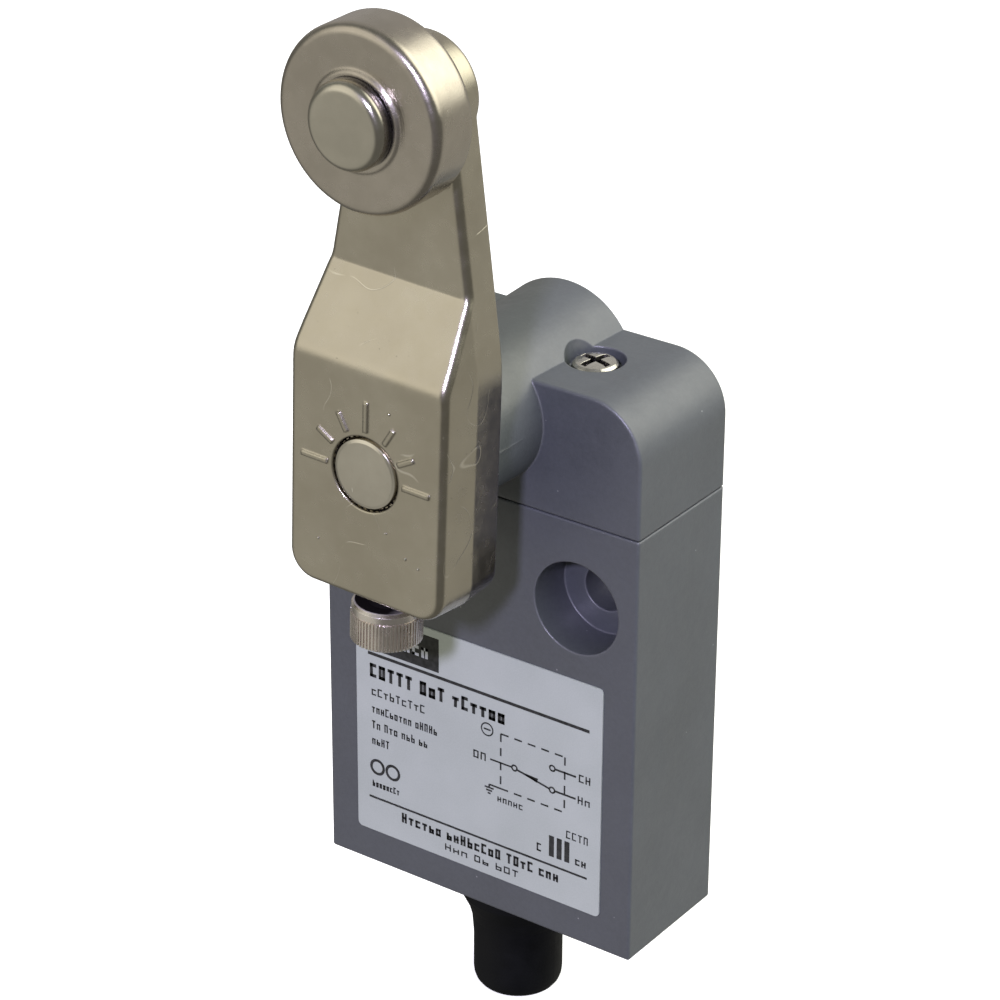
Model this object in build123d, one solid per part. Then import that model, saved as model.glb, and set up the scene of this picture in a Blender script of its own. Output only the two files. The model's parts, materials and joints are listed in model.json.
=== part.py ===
"""Roller-lever limit switch with a die-cast case and a moulded cable exit.

Millimetres, +Z up. The front of the switch faces -Y. The origin lies on the back face, midway
between the two mounting holes. Every piece is written as one STEP file in parts/.
"""

import math
import os

from build123d import *

# ---- fits, per side ----
SEAT_GAP = 0.02  # pieces that sit still in their bore
RUNNING_GAP = 0.03  # shaft in its bushes
SLIDING_GAP = 0.04  # plunger in its guide
LOOSE_GAP = 0.05  # button, pins, and the roller on its pin

# ---- case ----
CASE_W = 40.0  # width of case and head, along X
CASE_T = 16.0  # depth, back face at Y = 0, front face at Y = -CASE_T
MID_Y = -CASE_T / 2
CASE_BOTTOM = -40.6
CASE_TOP = 9.84
CASE_EDGE = 0.3  # rounding of the case's outer edges
JOINT_EDGE = 0.05  # chamfer along the joint with the head, wider on the head
MOUNT_PITCH = 25.0
MOUNT_HOLE_R = 2.6
COUNTERBORE_R = 5.25
COUNTERBORE_DEPTH = 5.5
CAVITY_HALF_W = 17.0
CAVITY_TOP = -9.0
CAVITY_CORNER_R = 1.5
WALL = 1.8  # front and back wall of the case
PLUNGER_HOLE_R = 2.4

# ---- earth screw and lug, on a pad on the back wall ----
GROUND_X, GROUND_Z = -1.9, -28.9
GROUND_R = 1.25
GROUND_PAD_R, GROUND_PAD_FRONT = 2.7, -4.2
GROUND_LUG_R, GROUND_LUG_T = 2.6, 0.8
GROUND_HEAD_R, GROUND_HEAD_T = 2.4, 1.6
GROUND_SCREW_BACK = -1.2
GROUND_SLOT_W, GROUND_SLOT_DEPTH = 0.6, 0.7

# ---- potting and cable boot ----
POTTING_TOP = -32.0
POTTING_BOTTOM = -39.8
BOOT_TOP = -32.2
BOOT_END = -54.7
BOOT_R = 5.0  # straight part
BOOT_BORE_R = 3.85
BOOT_NECK_R = 4.8  # inside the potting
BOOT_COLLAR_R = 5.7  # collar that locks the boot in the potting
BOOT_COLLAR_TOP, BOOT_COLLAR_BOTTOM = -33.5, -35.0
BOOT_ROOT_R = 5.9  # where it leaves the potting
BOOT_FLANGE_R = 6.5  # flange under the case
BOOT_FLANGE_BOTTOM = -42.6

# ---- nameplate ----
PLATE_HALF_W = 16.15
PLATE_BOTTOM, PLATE_TOP = -36.4, -8.4
PLATE_T = 0.15
PLATE_CORNER_R = 0.6

# ---- head ----
HEAD_BASE = 9.94
HEAD_TOP = 24.4
HEAD_EDGE = 0.3
SHOULDER_R = 6.2
AXIS_Z = 19.5  # height of the operating shaft
DOME_R = 8.7  # at the back; dome and boss narrow forwards in one draft
DOME_BACK_EDGE = 0.3
BOSS_ROOT_R = 8.1
BOSS_END_R = 7.95
BOSS_FRONT = -25.4
BOSS_RIM = 0.4
RIDGE_HALF = 0.1  # half width and height of the boss's parting line
CHAMBER_R = 5.8
CHAMBER_FRONT = -13.8
CHAMBER_BACK = -3.4
HEAD_SCREW_X = 9.0
HEAD_SCREW_R = 1.25
HEAD_SCREW_LENGTH = 19.0
HEAD_SCREW_HOLE_R = 1.4
POCKET_R = 3.2
POCKET_FLOOR = 22.9
PAN_HEAD_R = 2.5
PAN_HEAD_HEIGHT = 1.5
CROSS_LENGTH, CROSS_W, CROSS_DEPTH = 3.7, 0.75, 1.1
GASKET_INSET = 1.4
GASKET_HALF_W = 18.2
GASKET_SEAT = 0.7  # depth of the gasket's seat in the case

# ---- shaft and its bearings ----
SHAFT_R = 4.0
SHAFT_NECK_R = 3.85
JOURNAL_R = 3.0  # behind the boss: cam seat and rear journal
SHAFT_BACK = -1.2
SHAFT_STEP = -14.0
SHAFT_FRONT = -35.25
SHAFT_TEETH, SHAFT_TOOTH = 36, 0.2
BUSH_WALL = 1.2
REAR_BUSH_WALL = 1.0
FRONT_BUSH_END = -22.5
RING_GROOVE_R = 2.5
RING_GROOVE_FRONT, RING_GROOVE_BACK = -5.0, -4.3
RING_R = 4.4
THRUST_WASHER_R = 5.0

# ---- cam and plunger ----
CAM_R = 5.2
CAM_FLAT = 3.9  # distance of the cam's flat from the axis
CAM_FRONT, CAM_BACK = -12.9, -5.6
CAM_PIN_R = 0.8
PLUNGER_GAP = 0.1  # between the turning cam and the plunger's pad
PLUNGER_R = 1.8
PLUNGER_BOTTOM = -7.7
PLUNGER_EDGE = 0.3
PAD_R = 3.2
PAD_THICK = 1.4
PAD_TOP = AXIS_Z - CAM_R - PLUNGER_GAP
GUIDE_R = 4.0
GUIDE_NECK_R = 3.3
GUIDE_TOP, GUIDE_STEP, GUIDE_LOW = 8.4, 4.5, 3.6
GUIDE_POCKET_FLOOR = 1.5
SEAL_R = 3.9
SEAL_TOP, SEAL_BOTTOM, SEAL_LIP = 3.55, 1.6, 0.5
SPRING_R, SPRING_WIRE_R, SPRING_TURNS = 2.4, 0.18, 3.5

# ---- snap-action switch ----
SWITCH_HALF_W = 13.9
SWITCH_TOP = -9.1
SWITCH_BOTTOM = -25.9
SWITCH_FRONT, SWITCH_BACK = -12.6, -2.6
SWITCH_CORNER_R = 0.8
COVER_FRONT = -13.9
SWITCH_WALL = 1.5
CONTACT_CHAMBER_HALF_W = 9.2
BUTTON_R, BUTTON_FLANGE_R, BUTTON_STEM_R = 1.4, 2.2, 0.9
BUTTON_TOP = PLUNGER_BOTTOM - 0.05
BUTTON_FLANGE_TOP = SWITCH_TOP - SWITCH_WALL - 0.4
BUTTON_FLANGE_BOTTOM = BUTTON_FLANGE_TOP - 0.9
PIN_X, PIN_Z, PIN_R = 11.4, -18.0, 1.25
BLADE_Z = -15.9  # middle of the moving blade
BLADE_T = 0.25
BLADE_HALF_W = 1.7
BLADE_WINDOW_HALF_W = 0.9
BLADE_ROLL_R = 0.45  # round bar across the leaf, on which it rocks in the saddle
SADDLE_HALF_W, SADDLE_TOP, SADDLE_HEIGHT = 0.9, BLADE_Z - 0.3, 0.7
BUTTON_BOTTOM = BLADE_Z + 1.35
CONTACT_X, CONTACT_R, CONTACT_T = 7.0, 1.1, 0.35
CONTACT_REST_GAP = 0.04  # blade under the normally closed contact
CONTACT_OPEN_GAP = 0.85  # blade over the normally open contact
STRIP_W, STRIP_T = 4.0, 0.6
COMMON_X, OPEN_X, CLOSED_X = -8.1, 4.4, 8.6  # terminals; the blade rocks on the common one
TERMINAL_BOTTOM = -30.8

# ---- lever, measured from the shaft axis; the lever leans by LEVER_LEAN about it ----
LEVER_LEAN = 1.9  # degrees, top of the lever towards +X, as clamped on the serrated shaft
LEVER_LENGTH = 38.1
LEVER_BACK = -25.7
ARM_FRONT = -30.3
HUB_FRONT = -35.15
HUB_HALF_W = 9.9  # at the parting plane, which is the arm's front plane
HUB_BOTTOM = -14.7
HUB_CORNER_R = 3.4
SLOPE_LOW, SLOPE_HIGH = 11.4, 19.5
BROW_R = 3.5  # bend from the hub's face into the slope
ARM_SIDE_R = 5.55  # circle at the roller's axis that the arm's sides run to
ARM_END_R = 6.1  # round eye at the arm's end
ARM_NECK_R = 0.6  # where the sides run into the eye
LEVER_DRAFT = 4.9  # front half; the rear half has half as much
LEVER_EDGE = 0.9
KNEE_R = 25.0  # where the hub's sides run into the arm
BORE_R = 4.1
MARK_INNER_R, LONG_MARK_R, SHORT_MARK_R = 4.65, 7.9, 6.8
MARK_HALF_W, MARK_HEIGHT = 0.26, 0.2
MARK_COUNT, MARK_STEP = 7, 30

# ---- roller, its washer and pin ----
ROLLER_R = 9.5
ROLLER_FRONT, ROLLER_BACK = -37.8, -31.8
ROLLER_FRONT_EDGE, ROLLER_BACK_EDGE = 1.0, 0.5
ROLLER_HUB_R = 5.1
ROLLER_HUB_STEP, ROLLER_HUB_EDGE = 0.3, 0.25
ROLLER_PIN_R = 2.5
ROLLER_PIN_HEAD_R, ROLLER_PIN_HEAD_EDGE = 4.5, 1.0
ROLLER_PIN_HEAD_FRONT = -39.7
RIVET_R = 3.6
RIVET_HEIGHT = 1.0
END_PLAY = 0.08  # roller between its washer and the pin's head

# ---- clamp screw, in the lever's own frame ----
CLAMP_Y = -31.0
CLAMP_HEAD_R = 3.75
CLAMP_CROWN_R = 3.65  # plain band above the flutes
CLAMP_CROWN_HEIGHT = 1.15
CLAMP_CORE_R = 3.53
CLAMP_HEAD_TOP = -15.95
CLAMP_HEAD_BOTTOM = -20.4
CLAMP_TEETH, CLAMP_TOOTH = 60, 0.2
CLAMP_THREAD_R = 2.0
CLAMP_SOCKET_R, CLAMP_SOCKET_DEPTH = 1.73, 2.2

BIG = 60.0  # longer than the switch in any cut
OVER = 1.0  # how far a cut runs past a face


def box(x0, x1, y0, y1, z0, z1):
    """Rectangular block between two corners."""
    return Pos((x0 + x1) / 2, (y0 + y1) / 2, (z0 + z1) / 2) * Box(x1 - x0, y1 - y0, z1 - z0)


def y_cylinder(radius, front, back, x=0.0, z=0.0):
    """Cylinder along Y from front to back."""
    return Pos(x, (front + back) / 2, z) * Rot(90, 0, 0) * Cylinder(radius, back - front)


def z_cylinder(radius, bottom, top, x=0.0, y=MID_Y):
    """Cylinder along Z from bottom to top."""
    return Pos(x, y, (bottom + top) / 2) * Cylinder(radius, top - bottom)


def y_ring(outer, inner, front, back, x=0.0, z=0.0):
    """Plain ring along Y."""
    return y_cylinder(outer, front, back, x, z) - y_cylinder(inner, front, back, x, z)


def front_view(outline, front, back):
    """Extrudes an outline drawn as seen from the front, X right and Z up, from back to front."""
    return extrude(Plane.XZ.offset(-back) * outline, amount=back - front)


def lathe_y(profile, x=0.0, z=0.0):
    """Turns a closed list of (radius, y) points about the line along Y through (x, z)."""
    section = make_face(Polyline(*profile, close=True))
    return Pos(x, 0, z) * revolve(section, Axis.Y)


def lathe_z(profile, x=0.0, y=MID_Y):
    """Turns a closed list of (radius, z) points about the vertical line through (x, y)."""
    section = make_face(Polyline(*[(r, 0, z) for r, z in profile], close=True))
    return Pos(x, y, 0) * revolve(section, Axis.Z)


def knurl(radius, depth, teeth):
    """Outline of a serrated circle; each tooth fills half of its pitch."""
    tooth = ((0.0, radius), (0.5, radius), (0.6, radius - depth), (0.9, radius - depth))
    points = []
    for i in range(teeth):
        for share, r in tooth:
            angle = 2 * math.pi * (i + share) / teeth
            points.append((r * math.cos(angle), r * math.sin(angle)))
    return make_face(Polyline(*points, close=True))


def lean(shape):
    """Moves a piece from the lever's own frame, with the shaft axis at Z = 0, to its place."""
    return Pos(0, 0, AXIS_Z) * Rot(0, LEVER_LEAN, 0) * shape


def edges_at(shape, axis, value):
    """Edges whose centre lies at one value along one axis."""
    return shape.edges().filter_by(lambda e: abs(getattr(e.center(), axis) - value) < 1e-3)


# ---------------------------------------------------------------- case and what closes it


def make_body():
    block = box(-CASE_W / 2, CASE_W / 2, -CASE_T, 0, CASE_BOTTOM, CASE_TOP)
    block = fillet(block.edges().filter_by(Axis.Z) + edges_at(block, "Z", CASE_BOTTOM), CASE_EDGE)
    block = chamfer(edges_at(block, "Z", CASE_TOP), JOINT_EDGE)
    cavity = box(-CAVITY_HALF_W, CAVITY_HALF_W, -CASE_T + WALL, -WALL, CASE_BOTTOM - OVER, CAVITY_TOP)
    block -= fillet(cavity.edges().filter_by(Axis.Z), CAVITY_CORNER_R)
    for x in (-MOUNT_PITCH / 2, MOUNT_PITCH / 2):
        block -= y_cylinder(MOUNT_HOLE_R, -CASE_T - OVER, OVER, x)
        block -= y_cylinder(COUNTERBORE_R, -CASE_T - OVER, -CASE_T + COUNTERBORE_DEPTH, x)
    block -= z_cylinder(GUIDE_R, GUIDE_POCKET_FLOOR, CASE_TOP + OVER)
    block -= z_cylinder(PLUNGER_HOLE_R, CAVITY_TOP - OVER, GUIDE_POCKET_FLOOR + OVER)
    block -= box(-GASKET_HALF_W, GASKET_HALF_W, -CASE_T + GASKET_INSET, -GASKET_INSET,
                 CASE_TOP - GASKET_SEAT, CASE_TOP + OVER)
    thread_end = POCKET_FLOOR - HEAD_SCREW_LENGTH - 0.6
    for x in (-HEAD_SCREW_X, HEAD_SCREW_X):
        block -= z_cylinder(HEAD_SCREW_R + SEAT_GAP, thread_end, CASE_TOP + OVER, x)
    for x in (-PIN_X, PIN_X):
        block -= y_cylinder(PIN_R + SEAT_GAP, -WALL - OVER, OVER, x, PIN_Z)
    pad = y_cylinder(GROUND_PAD_R, GROUND_PAD_FRONT, -WALL + 0.2, GROUND_X, GROUND_Z)
    thread = y_cylinder(GROUND_R + SEAT_GAP, GROUND_PAD_FRONT - OVER, GROUND_SCREW_BACK + 0.3,
                        GROUND_X, GROUND_Z)
    return block + pad - thread


def make_ground_screw():
    under_head = GROUND_PAD_FRONT - GROUND_LUG_T
    front = under_head - GROUND_HEAD_T
    head = y_cylinder(GROUND_HEAD_R, front, under_head, GROUND_X, GROUND_Z)
    head = chamfer(head.edges().filter_by(GeomType.CIRCLE).sort_by(Axis.Y)[0], 0.3)
    shank = y_cylinder(GROUND_R, under_head, GROUND_SCREW_BACK, GROUND_X, GROUND_Z)
    slot = box(GROUND_X - GROUND_HEAD_R, GROUND_X + GROUND_HEAD_R, front - OVER, front + GROUND_SLOT_DEPTH,
               GROUND_Z - GROUND_SLOT_W / 2, GROUND_Z + GROUND_SLOT_W / 2)
    return head + shank - slot


def make_ground_lug():
    """Round eye with a short tail for the earth lead."""
    front = GROUND_PAD_FRONT - GROUND_LUG_T
    eye = y_cylinder(GROUND_LUG_R, front, GROUND_PAD_FRONT, GROUND_X, GROUND_Z)
    tail = box(GROUND_X - 1, GROUND_X + 1, front, GROUND_PAD_FRONT, GROUND_Z, GROUND_Z + GROUND_LUG_R + 0.4)
    hole = y_cylinder(GROUND_R + LOOSE_GAP, front - OVER, GROUND_PAD_FRONT + OVER, GROUND_X, GROUND_Z)
    return eye + tail - hole


def boot_anchor(top, bottom):
    """Outline of the boot inside the potting: a neck with a collar, from top to bottom."""
    return [
        (BOOT_NECK_R, top),
        (BOOT_NECK_R, BOOT_COLLAR_TOP),
        (BOOT_COLLAR_R, BOOT_COLLAR_TOP),
        (BOOT_COLLAR_R, BOOT_COLLAR_BOTTOM),
        (BOOT_NECK_R, BOOT_COLLAR_BOTTOM),
        (BOOT_NECK_R, bottom),
    ]


def make_cable_boot():
    """Rubber tube with an embedded top, a flange under the case, a flare and a rounded end."""
    tube = [
        (BOOT_ROOT_R, POTTING_BOTTOM),
        (BOOT_ROOT_R, CASE_BOTTOM - 0.4),
        (BOOT_FLANGE_R, CASE_BOTTOM - 0.7),
        (BOOT_FLANGE_R, BOOT_FLANGE_BOTTOM),
        (BOOT_R + 0.6, BOOT_FLANGE_BOTTOM - 1.9),
        (BOOT_R + 0.2, BOOT_FLANGE_BOTTOM - 3.4),
        (BOOT_R, BOOT_FLANGE_BOTTOM - 5.9),
        (BOOT_R, BOOT_END + 1.7),
        (BOOT_R - 0.07, BOOT_END + 1.1),
        (BOOT_R - 0.25, BOOT_END + 0.6),
        (BOOT_R - 0.55, BOOT_END + 0.2),
        (BOOT_R - 0.9, BOOT_END),
        (BOOT_BORE_R + 0.15, BOOT_END),
        (BOOT_BORE_R, BOOT_END + 0.15),
        (BOOT_BORE_R, BOOT_TOP),
    ]
    return lathe_z(boot_anchor(BOOT_TOP, POTTING_BOTTOM) + tube)


def make_potting():
    """Cast resin that fills the case's open bottom around the boot."""
    half_w = CAVITY_HALF_W - SEAT_GAP
    block = box(-half_w, half_w, -CASE_T + WALL + SEAT_GAP, -WALL - SEAT_GAP, POTTING_BOTTOM, POTTING_TOP)
    block = fillet(block.edges().filter_by(Axis.Z), CAVITY_CORNER_R)
    top, bottom = POTTING_TOP + OVER, POTTING_BOTTOM - OVER
    return block - lathe_z([(0, top)] + boot_anchor(top, bottom) + [(0, bottom)])


def make_nameplate():
    plate = box(-PLATE_HALF_W, PLATE_HALF_W, -CASE_T - PLATE_T, -CASE_T, PLATE_BOTTOM, PLATE_TOP)
    return fillet(plate.edges().filter_by(Axis.Y), PLATE_CORNER_R)


# ---------------------------------------------------------------- head


def make_head():
    """Block with round shoulders, a half-round top over the shaft and a round boss in front."""
    outline = Pos(0, (HEAD_BASE + HEAD_TOP) / 2) * Rectangle(CASE_W, HEAD_TOP - HEAD_BASE)
    outline = fillet(outline.vertices().group_by(Axis.Y)[-1], SHOULDER_R)
    block = front_view(outline, -CASE_T, 0)
    rims = edges_at(block, "Y", -CASE_T) + edges_at(block, "Y", 0)
    block = fillet(rims.filter_by(lambda e: e.center().Z > HEAD_BASE + 0.01), HEAD_EDGE)
    block += make_dome_and_boss()
    block = chamfer(edges_at(block, "Z", HEAD_BASE).filter_by(GeomType.LINE), 3 * JOINT_EDGE)
    chamber = y_cylinder(CHAMBER_R, CHAMBER_FRONT, CHAMBER_BACK, 0, AXIS_Z)
    chamber += box(-CHAMBER_R, CHAMBER_R, CHAMBER_FRONT, CHAMBER_BACK, HEAD_BASE - OVER, AXIS_Z)
    block -= chamber
    front_bore_r = SHAFT_R + RUNNING_GAP + BUSH_WALL
    rear_bore_r = JOURNAL_R + RUNNING_GAP + REAR_BUSH_WALL
    block -= y_cylinder(front_bore_r, BOSS_FRONT - OVER, CHAMBER_FRONT + OVER, 0, AXIS_Z)
    block -= y_cylinder(rear_bore_r, CHAMBER_BACK - OVER, SHAFT_BACK + 0.2, 0, AXIS_Z)
    for x in (-HEAD_SCREW_X, HEAD_SCREW_X):
        block -= z_cylinder(HEAD_SCREW_HOLE_R, HEAD_BASE - OVER, HEAD_TOP + OVER, x)
        block -= z_cylinder(POCKET_R, POCKET_FLOOR, AXIS_Z + DOME_R + OVER, x)
    return block


def make_dome_and_boss():
    """Round barrel narrowing forwards, with a raised parting line along both sides of the boss."""
    barrel = lathe_y(
        [
            (0, 0),
            (DOME_R, 0),
            (BOSS_ROOT_R, -CASE_T),
            (BOSS_END_R, BOSS_FRONT + BOSS_RIM),
            (BOSS_END_R - BOSS_RIM, BOSS_FRONT),
            (0, BOSS_FRONT),
        ],
        0, AXIS_Z)
    barrel = fillet(barrel.edges().filter_by(GeomType.CIRCLE).sort_by(Axis.Y)[-1], DOME_BACK_EDGE)
    reach = BOSS_END_R + RIDGE_HALF
    return barrel + box(-reach, reach, BOSS_FRONT + 2 * BOSS_RIM, -CASE_T + 0.3,
                        AXIS_Z - RIDGE_HALF, AXIS_Z + RIDGE_HALF)


def make_head_gasket():
    """Flat seal in its seat in the case, open for the cam chamber and the screws."""
    half_w = GASKET_HALF_W - LOOSE_GAP
    sheet = box(-half_w, half_w, -CASE_T + GASKET_INSET + LOOSE_GAP, -GASKET_INSET - LOOSE_GAP,
                CASE_TOP - GASKET_SEAT, HEAD_BASE)
    sheet = fillet(sheet.edges().filter_by(Axis.Z), 1.0)
    sheet -= box(-CHAMBER_R, CHAMBER_R, CHAMBER_FRONT, CHAMBER_BACK, CASE_TOP - OVER, HEAD_BASE + OVER)
    for x in (-HEAD_SCREW_X, HEAD_SCREW_X):
        sheet -= z_cylinder(HEAD_SCREW_HOLE_R, CASE_TOP - OVER, HEAD_BASE + OVER, x)
    return sheet


def make_head_screws():
    """Two pan-head screws with a cross recess, as one group."""
    top = POCKET_FLOOR + PAN_HEAD_HEIGHT
    end = POCKET_FLOOR - HEAD_SCREW_LENGTH
    profile = [
        (0, top),
        (PAN_HEAD_R - 1.1, top - 0.04),
        (PAN_HEAD_R - 0.4, top - 0.2),
        (PAN_HEAD_R - 0.1, top - 0.45),
        (PAN_HEAD_R, top - 0.8),
        (PAN_HEAD_R, POCKET_FLOOR),
        (HEAD_SCREW_R, POCKET_FLOOR),
        (HEAD_SCREW_R, end + 0.5),
        (HEAD_SCREW_R - 0.4, end),
        (0, end),
    ]
    recess_arm = Pos(0, 0, top - CROSS_DEPTH / 2) * Box(CROSS_LENGTH, CROSS_W, CROSS_DEPTH)
    screws = []
    for x, turn in ((-HEAD_SCREW_X, 20), (HEAD_SCREW_X, -12)):
        screw = lathe_z(profile, x)
        for angle in (turn, turn + 90):
            screw -= Pos(x, MID_Y, 0) * Rot(0, 0, angle) * recess_arm
        screws.append(screw)
    return Compound(children=screws)


# ---------------------------------------------------------------- shaft, bearings and cam


def cross_pin_hole():
    """Hole for the cam pin, along X through the shaft axis."""
    return Pos(0, (CAM_FRONT + CAM_BACK) / 2, 0) * Rot(0, 90, 0) * Cylinder(CAM_PIN_R, BIG)


def make_shaft():
    """Stepped shaft with a ring groove behind and a serrated end under the lever."""
    shaft = lathe_y(
        [
            (0, SHAFT_BACK),
            (JOURNAL_R - 0.3, SHAFT_BACK),
            (JOURNAL_R, SHAFT_BACK - 0.3),
            (JOURNAL_R, RING_GROOVE_BACK),
            (RING_GROOVE_R, RING_GROOVE_BACK),
            (RING_GROOVE_R, RING_GROOVE_FRONT),
            (JOURNAL_R, RING_GROOVE_FRONT),
            (JOURNAL_R, SHAFT_STEP),
            (SHAFT_R, SHAFT_STEP),
            (SHAFT_R, LEVER_BACK + 0.1),
            (SHAFT_NECK_R, LEVER_BACK + 0.1),
            (SHAFT_NECK_R, SHAFT_FRONT + 0.45),
            (SHAFT_NECK_R - 0.15, SHAFT_FRONT + 0.12),
            (SHAFT_NECK_R - 0.5, SHAFT_FRONT),
            (0, SHAFT_FRONT),
        ]
    )
    shaft += front_view(knurl(SHAFT_R, SHAFT_TOOTH, SHAFT_TEETH), SHAFT_FRONT + 0.8, LEVER_BACK)
    return Pos(0, 0, AXIS_Z) * (shaft - cross_pin_hole())


def make_front_bush():
    bore = SHAFT_R + RUNNING_GAP
    return y_ring(bore + BUSH_WALL, bore, FRONT_BUSH_END, SHAFT_STEP + 0.2, 0, AXIS_Z)


def make_rear_bush():
    bore = JOURNAL_R + RUNNING_GAP
    return y_ring(bore + REAR_BUSH_WALL, bore, CHAMBER_BACK, SHAFT_BACK + 0.2, 0, AXIS_Z)


def make_shaft_seal():
    """Rubber lip ring in front of the bush."""
    outer = SHAFT_R + RUNNING_GAP + BUSH_WALL
    inner = SHAFT_R + SLIDING_GAP
    back = FRONT_BUSH_END - 0.1
    front = BOSS_FRONT + 0.1
    return lathe_y([(inner, back), (outer, back), (outer, front + 0.2), (outer - 0.4, front),
                    (inner + 0.5, front), (inner, front + 0.5)], 0, AXIS_Z)


def make_thrust_washer():
    return y_ring(THRUST_WASHER_R, JOURNAL_R + LOOSE_GAP, CHAMBER_FRONT + 0.1, CAM_FRONT - 0.1, 0, AXIS_Z)


def make_retaining_ring():
    """Open snap ring in the shaft's groove, behind the cam."""
    ring = y_ring(RING_R, RING_GROOVE_R + LOOSE_GAP, RING_GROOVE_FRONT + LOOSE_GAP,
                  RING_GROOVE_BACK - LOOSE_GAP)
    opening = box(-1.2, 1.2, RING_GROOVE_FRONT - OVER, RING_GROOVE_BACK + OVER, 0, RING_R + OVER)
    return Pos(0, 0, AXIS_Z) * (ring - opening)


def make_cam():
    """Disc with a flat underneath, which rests over the plunger."""
    cam = y_ring(CAM_R, JOURNAL_R, CAM_FRONT, CAM_BACK)
    cam -= box(-BIG, BIG, CAM_FRONT - OVER, CAM_BACK + OVER, -BIG, -CAM_FLAT)
    return Pos(0, 0, AXIS_Z) * (cam - cross_pin_hole())


def make_cam_pin():
    pin = Rot(0, 90, 0) * Cylinder(CAM_PIN_R, 2 * CAM_R - 0.9)
    pin = chamfer(pin.edges().filter_by(GeomType.CIRCLE), 0.15)
    return Pos(0, (CAM_FRONT + CAM_BACK) / 2, AXIS_Z) * pin


# ---------------------------------------------------------------- plunger


def make_plunger():
    return lathe_z(
        [
            (0, PAD_TOP),
            (PAD_R - 0.4, PAD_TOP),
            (PAD_R, PAD_TOP - 0.4),
            (PAD_R, PAD_TOP - PAD_THICK),
            (PLUNGER_R, PAD_TOP - PAD_THICK),
            (PLUNGER_R, PLUNGER_BOTTOM + PLUNGER_EDGE),
            (PLUNGER_R - PLUNGER_EDGE, PLUNGER_BOTTOM),
            (0, PLUNGER_BOTTOM),
        ]
    )


def make_plunger_guide():
    bore = PLUNGER_R + SLIDING_GAP
    outer = GUIDE_R - SEAT_GAP
    return lathe_z([(bore, GUIDE_TOP), (outer, GUIDE_TOP), (outer, GUIDE_STEP), (GUIDE_NECK_R, GUIDE_STEP),
                    (GUIDE_NECK_R, GUIDE_LOW), (bore, GUIDE_LOW)])


def make_plunger_seal():
    """Rubber ring with a lip at each end, under the guide."""
    bore = PLUNGER_R + SLIDING_GAP
    return lathe_z([(bore, SEAL_TOP - 0.25), (bore + SEAL_LIP, SEAL_TOP), (SEAL_R, SEAL_TOP),
                    (SEAL_R, SEAL_BOTTOM), (bore + SEAL_LIP, SEAL_BOTTOM), (bore, SEAL_BOTTOM + 0.3)])


def make_plunger_spring():
    """Compression spring between the guide and the plunger's pad."""
    bottom = GUIDE_TOP + SPRING_WIRE_R + SEAT_GAP
    height = PAD_TOP - PAD_THICK - SPRING_WIRE_R - SEAT_GAP - bottom
    path = Helix(height / SPRING_TURNS, height, SPRING_R)
    section = Plane(path @ 0, z_dir=path % 0) * Circle(SPRING_WIRE_R)
    return Pos(0, MID_Y, bottom) * sweep(section, path, is_frenet=True)


# ---------------------------------------------------------------- snap-action switch


def switch_block(front, back):
    """Block with the snap-action switch's outline and its two holes for pins."""
    block = box(-SWITCH_HALF_W, SWITCH_HALF_W, front, back, SWITCH_BOTTOM, SWITCH_TOP)
    block = fillet(block.edges().filter_by(Axis.Y), SWITCH_CORNER_R)
    for x in (-PIN_X, PIN_X):
        block -= y_cylinder(PIN_R + LOOSE_GAP, front - OVER, back + OVER, x, PIN_Z)
    return block


def make_switch_case():
    """Open box with a hole for the button and three slots for the terminals."""
    case = switch_block(SWITCH_FRONT, SWITCH_BACK)
    case -= box(-CONTACT_CHAMBER_HALF_W, CONTACT_CHAMBER_HALF_W, SWITCH_FRONT - OVER,
                SWITCH_BACK - SWITCH_WALL, SWITCH_BOTTOM + SWITCH_WALL, SWITCH_TOP - SWITCH_WALL)
    case -= z_cylinder(BUTTON_R + LOOSE_GAP, SWITCH_TOP - SWITCH_WALL - OVER, SWITCH_TOP + OVER)
    for x in (COMMON_X, OPEN_X, CLOSED_X):
        half_t, half_w = STRIP_T / 2 + RUNNING_GAP, STRIP_W / 2 + RUNNING_GAP
        case -= box(x - half_t, x + half_t, MID_Y - half_w, MID_Y + half_w,
                    SWITCH_BOTTOM - OVER, SWITCH_BOTTOM + SWITCH_WALL + OVER)
    return case


def make_switch_cover():
    return switch_block(COVER_FRONT, SWITCH_FRONT)


def make_switch_pins():
    """Two pins through the back wall that hold the snap-action switch."""
    pins = []
    for x in (-PIN_X, PIN_X):
        pin = y_cylinder(PIN_R, COVER_FRONT + 0.2, -0.05, x, PIN_Z)
        pins.append(chamfer(pin.edges().filter_by(GeomType.CIRCLE), 0.2))
    return Compound(children=pins)


def make_switch_button():
    return lathe_z(
        [
            (0, BUTTON_TOP),
            (BUTTON_R - 0.3, BUTTON_TOP),
            (BUTTON_R, BUTTON_TOP - 0.3),
            (BUTTON_R, BUTTON_FLANGE_TOP),
            (BUTTON_FLANGE_R, BUTTON_FLANGE_TOP),
            (BUTTON_FLANGE_R, BUTTON_FLANGE_BOTTOM),
            (BUTTON_STEM_R, BUTTON_FLANGE_BOTTOM),
            (BUTTON_STEM_R, BUTTON_BOTTOM),
            (0, BUTTON_BOTTOM),
        ]
    )


def strip(x0, x1, z0, z1):
    """Piece of terminal strip, centred in depth."""
    return box(x0, x1, MID_Y - STRIP_W / 2, MID_Y + STRIP_W / 2, z0, z1)


def post(x, top):
    """Upright piece of terminal strip, from the terminal's end up to top."""
    return strip(x - STRIP_T / 2, x + STRIP_T / 2, TERMINAL_BOTTOM, top)


def contact(bottom, top):
    """Contact rivet."""
    return z_cylinder(CONTACT_R, bottom, top, CONTACT_X)


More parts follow.
